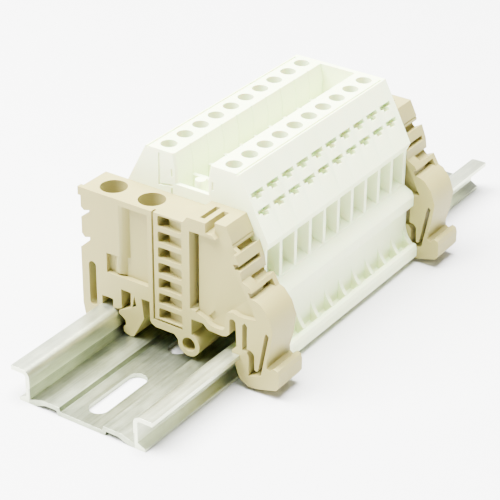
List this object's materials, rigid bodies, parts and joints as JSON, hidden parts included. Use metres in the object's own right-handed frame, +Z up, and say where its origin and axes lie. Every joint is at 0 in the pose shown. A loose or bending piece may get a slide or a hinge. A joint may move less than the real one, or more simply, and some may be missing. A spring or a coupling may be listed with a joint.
{
  "type": "din rail terminal block",
  "caption": "Row of screw terminal housings with an end cover, clamped between two end brackets on a slotted hat rail.",
  "frame": {"origin": "in the plane of the rail's underside, at the middle of its width, midway between the two free fixing slots", "axes": "+X across the rail towards the brackets' spring legs, +Y along the rail towards the end cover, +Z up from the rail"},
  "size_m": [0.0497, 0.133, 0.0426],
  "materials": {
    "rail": "satin extruded",
    "bracket": "moulded beige polyamide",
    "housing": "moulded cream-white polyamide",
    "bar": "tinned",
    "cage": "zinc plated",
    "screw": "zinc plated"
  },
  "bodies": {
    "rail_and_blocks": {"din_rail": "rail", "block_housing_01": "housing", "block_housing_02": "housing", "block_housing_03": "housing", "block_housing_04": "housing", "block_housing_05": "housing", "block_housing_06": "housing", "block_housing_07": "housing", "block_housing_08": "housing", "block_housing_09": "housing", "block_housing_10": "housing", "end_cover": "housing", "current_bars": "bar"},
    "front_bracket": {"front_end_bracket": "bracket"},
    "rear_bracket": {"rear_end_bracket": "bracket"},
    "cage_left_01": {"clamp_cage_left_01": "cage"},
    "screw_left_01": {"clamp_screw_left_01": "screw"},
    "cage_right_01": {"clamp_cage_right_01": "cage"},
    "screw_right_01": {"clamp_screw_right_01": "screw"},
    "cage_left_02": {"clamp_cage_left_02": "cage"},
    "screw_left_02": {"clamp_screw_left_02": "screw"},
    "cage_right_02": {"clamp_cage_right_02": "cage"},
    "screw_right_02": {"clamp_screw_right_02": "screw"},
    "cage_left_03": {"clamp_cage_left_03": "cage"},
    "screw_left_03": {"clamp_screw_left_03": "screw"},
    "cage_right_03": {"clamp_cage_right_03": "cage"},
    "screw_right_03": {"clamp_screw_right_03": "screw"},
    "cage_left_04": {"clamp_cage_left_04": "cage"},
    "screw_left_04": {"clamp_screw_left_04": "screw"},
    "cage_right_04": {"clamp_cage_right_04": "cage"},
    "screw_right_04": {"clamp_screw_right_04": "screw"},
    "cage_left_05": {"clamp_cage_left_05": "cage"},
    "screw_left_05": {"clamp_screw_left_05": "screw"},
    "cage_right_05": {"clamp_cage_right_05": "cage"},
    "screw_right_05": {"clamp_screw_right_05": "screw"},
    "cage_left_06": {"clamp_cage_left_06": "cage"},
    "screw_left_06": {"clamp_screw_left_06": "screw"},
    "cage_right_06": {"clamp_cage_right_06": "cage"},
    "screw_right_06": {"clamp_screw_right_06": "screw"},
    "cage_left_07": {"clamp_cage_left_07": "cage"},
    "screw_left_07": {"clamp_screw_left_07": "screw"},
    "cage_right_07": {"clamp_cage_right_07": "cage"},
    "screw_right_07": {"clamp_screw_right_07": "screw"},
    "cage_left_08": {"clamp_cage_left_08": "cage"},
    "screw_left_08": {"clamp_screw_left_08": "screw"},
    "cage_right_08": {"clamp_cage_right_08": "cage"},
    "screw_right_08": {"clamp_screw_right_08": "screw"},
    "cage_left_09": {"clamp_cage_left_09": "cage"},
    "screw_left_09": {"clamp_screw_left_09": "screw"},
    "cage_right_09": {"clamp_cage_right_09": "cage"},
    "screw_right_09": {"clamp_screw_right_09": "screw"},
    "cage_left_10": {"clamp_cage_left_10": "cage"},
    "screw_left_10": {"clamp_screw_left_10": "screw"},
    "cage_right_10": {"clamp_cage_right_10": "cage"},
    "screw_right_10": {"clamp_screw_right_10": "screw"}
  },
  "joints": [
    {"name": "front_bracket_slide", "type": "slide", "parent": "rail_and_blocks", "child": "front_bracket", "axis": [0, -1, 0], "range_m": [0, 0.027]},
    {"name": "rear_bracket_slide", "type": "slide", "parent": "rail_and_blocks", "child": "rear_bracket", "axis": [0, 1, 0], "range_m": [0, 0.03]},
    {"name": "turn_screw_left_01", "type": "hinge", "parent": "rail_and_blocks", "child": "screw_left_01", "pos_m": [-0.008, -0.02388, 0.03595], "axis": [0, 0, -1], "range_deg": [0, 2881]},
    {"name": "lift_cage_left_01", "type": "slide", "parent": "rail_and_blocks", "child": "cage_left_01", "axis": [0, 0, 1], "range_m": [0, 0.004]},
    {"name": "turn_screw_right_01", "type": "hinge", "parent": "rail_and_blocks", "child": "screw_right_01", "pos_m": [0.008, -0.02388, 0.03595], "axis": [0, 0, -1], "range_deg": [0, 2881]},
    {"name": "lift_cage_right_01", "type": "slide", "parent": "rail_and_blocks", "child": "cage_right_01", "axis": [0, 0, 1], "range_m": [0, 0.004]},
    {"name": "turn_screw_left_02", "type": "hinge", "parent": "rail_and_blocks", "child": "screw_left_02", "pos_m": [-0.008, -0.01843, 0.03595], "axis": [0, 0, -1], "range_deg": [0, 2881]},
    {"name": "lift_cage_left_02", "type": "slide", "parent": "rail_and_blocks", "child": "cage_left_02", "axis": [0, 0, 1], "range_m": [0, 0.004]},
    {"name": "turn_screw_right_02", "type": "hinge", "parent": "rail_and_blocks", "child": "screw_right_02", "pos_m": [0.008, -0.01843, 0.03595], "axis": [0, 0, -1], "range_deg": [0, 2881]},
    {"name": "lift_cage_right_02", "type": "slide", "parent": "rail_and_blocks", "child": "cage_right_02", "axis": [0, 0, 1], "range_m": [0, 0.004]},
    {"name": "turn_screw_left_03", "type": "hinge", "parent": "rail_and_blocks", "child": "screw_left_03", "pos_m": [-0.008, -0.01298, 0.03595], "axis": [0, 0, -1], "range_deg": [0, 2881]},
    {"name": "lift_cage_left_03", "type": "slide", "parent": "rail_and_blocks", "child": "cage_left_03", "axis": [0, 0, 1], "range_m": [0, 0.004]},
    {"name": "turn_screw_right_03", "type": "hinge", "parent": "rail_and_blocks", "child": "screw_right_03", "pos_m": [0.008, -0.01298, 0.03595], "axis": [0, 0, -1], "range_deg": [0, 2881]},
    {"name": "lift_cage_right_03", "type": "slide", "parent": "rail_and_blocks", "child": "cage_right_03", "axis": [0, 0, 1], "range_m": [0, 0.004]},
    {"name": "turn_screw_left_04", "type": "hinge", "parent": "rail_and_blocks", "child": "screw_left_04", "pos_m": [-0.008, -0.00752, 0.03595], "axis": [0, 0, -1], "range_deg": [0, 2881]},
    {"name": "lift_cage_left_04", "type": "slide", "parent": "rail_and_blocks", "child": "cage_left_04", "axis": [0, 0, 1], "range_m": [0, 0.004]},
    {"name": "turn_screw_right_04", "type": "hinge", "parent": "rail_and_blocks", "child": "screw_right_04", "pos_m": [0.008, -0.00752, 0.03595], "axis": [0, 0, -1], "range_deg": [0, 2881]},
    {"name": "lift_cage_right_04", "type": "slide", "parent": "rail_and_blocks", "child": "cage_right_04", "axis": [0, 0, 1], "range_m": [0, 0.004]},
    {"name": "turn_screw_left_05", "type": "hinge", "parent": "rail_and_blocks", "child": "screw_left_05", "pos_m": [-0.008, -0.00208, 0.03595], "axis": [0, 0, -1], "range_deg": [0, 2881]},
    {"name": "lift_cage_left_05", "type": "slide", "parent": "rail_and_blocks", "child": "cage_left_05", "axis": [0, 0, 1], "range_m": [0, 0.004]},
    {"name": "turn_screw_right_05", "type": "hinge", "parent": "rail_and_blocks", "child": "screw_right_05", "pos_m": [0.008, -0.00208, 0.03595], "axis": [0, 0, -1], "range_deg": [0, 2881]},
    {"name": "lift_cage_right_05", "type": "slide", "parent": "rail_and_blocks", "child": "cage_right_05", "axis": [0, 0, 1], "range_m": [0, 0.004]},
    {"name": "turn_screw_left_06", "type": "hinge", "parent": "rail_and_blocks", "child": "screw_left_06", "pos_m": [-0.008, 0.00337, 0.03595], "axis": [0, 0, -1], "range_deg": [0, 2881]},
    {"name": "lift_cage_left_06", "type": "slide", "parent": "rail_and_blocks", "child": "cage_left_06", "axis": [0, 0, 1], "range_m": [0, 0.004]},
    {"name": "turn_screw_right_06", "type": "hinge", "parent": "rail_and_blocks", "child": "screw_right_06", "pos_m": [0.008, 0.00337, 0.03595], "axis": [0, 0, -1], "range_deg": [0, 2881]},
    {"name": "lift_cage_right_06", "type": "slide", "parent": "rail_and_blocks", "child": "cage_right_06", "axis": [0, 0, 1], "range_m": [0, 0.004]},
    {"name": "turn_screw_left_07", "type": "hinge", "parent": "rail_and_blocks", "child": "screw_left_07", "pos_m": [-0.008, 0.00882, 0.03595], "axis": [0, 0, -1], "range_deg": [0, 2881]},
    {"name": "lift_cage_left_07", "type": "slide", "parent": "rail_and_blocks", "child": "cage_left_07", "axis": [0, 0, 1], "range_m": [0, 0.004]},
    {"name": "turn_screw_right_07", "type": "hinge", "parent": "rail_and_blocks", "child": "screw_right_07", "pos_m": [0.008, 0.00882, 0.03595], "axis": [0, 0, -1], "range_deg": [0, 2881]},
    {"name": "lift_cage_right_07", "type": "slide", "parent": "rail_and_blocks", "child": "cage_right_07", "axis": [0, 0, 1], "range_m": [0, 0.004]},
    {"name": "turn_screw_left_08", "type": "hinge", "parent": "rail_and_blocks", "child": "screw_left_08", "pos_m": [-0.008, 0.01427, 0.03595], "axis": [0, 0, -1], "range_deg": [0, 2881]},
    {"name": "lift_cage_left_08", "type": "slide", "parent": "rail_and_blocks", "child": "cage_left_08", "axis": [0, 0, 1], "range_m": [0, 0.004]},
    {"name": "turn_screw_right_08", "type": "hinge", "parent": "rail_and_blocks", "child": "screw_right_08", "pos_m": [0.008, 0.01427, 0.03595], "axis": [0, 0, -1], "range_deg": [0, 2881]},
    {"name": "lift_cage_right_08", "type": "slide", "parent": "rail_and_blocks", "child": "cage_right_08", "axis": [0, 0, 1], "range_m": [0, 0.004]},
    {"name": "turn_screw_left_09", "type": "hinge", "parent": "rail_and_blocks", "child": "screw_left_09", "pos_m": [-0.008, 0.01972, 0.03595], "axis": [0, 0, -1], "range_deg": [0, 2881]},
    {"name": "lift_cage_left_09", "type": "slide", "parent": "rail_and_blocks", "child": "cage_left_09", "axis": [0, 0, 1], "range_m": [0, 0.004]},
    {"name": "turn_screw_right_09", "type": "hinge", "parent": "rail_and_blocks", "child": "screw_right_09", "pos_m": [0.008, 0.01972, 0.03595], "axis": [0, 0, -1], "range_deg": [0, 2881]},
    {"name": "lift_cage_right_09", "type": "slide", "parent": "rail_and_blocks", "child": "cage_right_09", "axis": [0, 0, 1], "range_m": [0, 0.004]},
    {"name": "turn_screw_left_10", "type": "hinge", "parent": "rail_and_blocks", "child": "screw_left_10", "pos_m": [-0.008, 0.02517, 0.03595], "axis": [0, 0, -1], "range_deg": [0, 2881]},
    {"name": "lift_cage_left_10", "type": "slide", "parent": "rail_and_blocks", "child": "cage_left_10", "axis": [0, 0, 1], "range_m": [0, 0.004]},
    {"name": "turn_screw_right_10", "type": "hinge", "parent": "rail_and_blocks", "child": "screw_right_10", "pos_m": [0.008, 0.02517, 0.03595], "axis": [0, 0, -1], "range_deg": [0, 2881]},
    {"name": "lift_cage_right_10", "type": "slide", "parent": "rail_and_blocks", "child": "cage_right_10", "axis": [0, 0, 1], "range_m": [0, 0.004]}
  ],
  "couplings": [
    {"joint": "turn_screw_left_01", "follows": "lift_cage_left_01", "rad_per_m": 12566},
    {"joint": "turn_screw_right_01", "follows": "lift_cage_right_01", "rad_per_m": 12566},
    {"joint": "turn_screw_left_02", "follows": "lift_cage_left_02", "rad_per_m": 12566},
    {"joint": "turn_screw_right_02", "follows": "lift_cage_right_02", "rad_per_m": 12566},
    {"joint": "turn_screw_left_03", "follows": "lift_cage_left_03", "rad_per_m": 12566},
    {"joint": "turn_screw_right_03", "follows": "lift_cage_right_03", "rad_per_m": 12566},
    {"joint": "turn_screw_left_04", "follows": "lift_cage_left_04", "rad_per_m": 12566},
    {"joint": "turn_screw_right_04", "follows": "lift_cage_right_04", "rad_per_m": 12566},
    {"joint": "turn_screw_left_05", "follows": "lift_cage_left_05", "rad_per_m": 12566},
    {"joint": "turn_screw_right_05", "follows": "lift_cage_right_05", "rad_per_m": 12566},
    {"joint": "turn_screw_left_06", "follows": "lift_cage_left_06", "rad_per_m": 12566},
    {"joint": "turn_screw_right_06", "follows": "lift_cage_right_06", "rad_per_m": 12566},
    {"joint": "turn_screw_left_07", "follows": "lift_cage_left_07", "rad_per_m": 12566},
    {"joint": "turn_screw_right_07", "follows": "lift_cage_right_07", "rad_per_m": 12566},
    {"joint": "turn_screw_left_08", "follows": "lift_cage_left_08", "rad_per_m": 12566},
    {"joint": "turn_screw_right_08", "follows": "lift_cage_right_08", "rad_per_m": 12566},
    {"joint": "turn_screw_left_09", "follows": "lift_cage_left_09", "rad_per_m": 12566},
    {"joint": "turn_screw_right_09", "follows": "lift_cage_right_09", "rad_per_m": 12566},
    {"joint": "turn_screw_left_10", "follows": "lift_cage_left_10", "rad_per_m": 12566},
    {"joint": "turn_screw_right_10", "follows": "lift_cage_right_10", "rad_per_m": 12566}
  ]
}
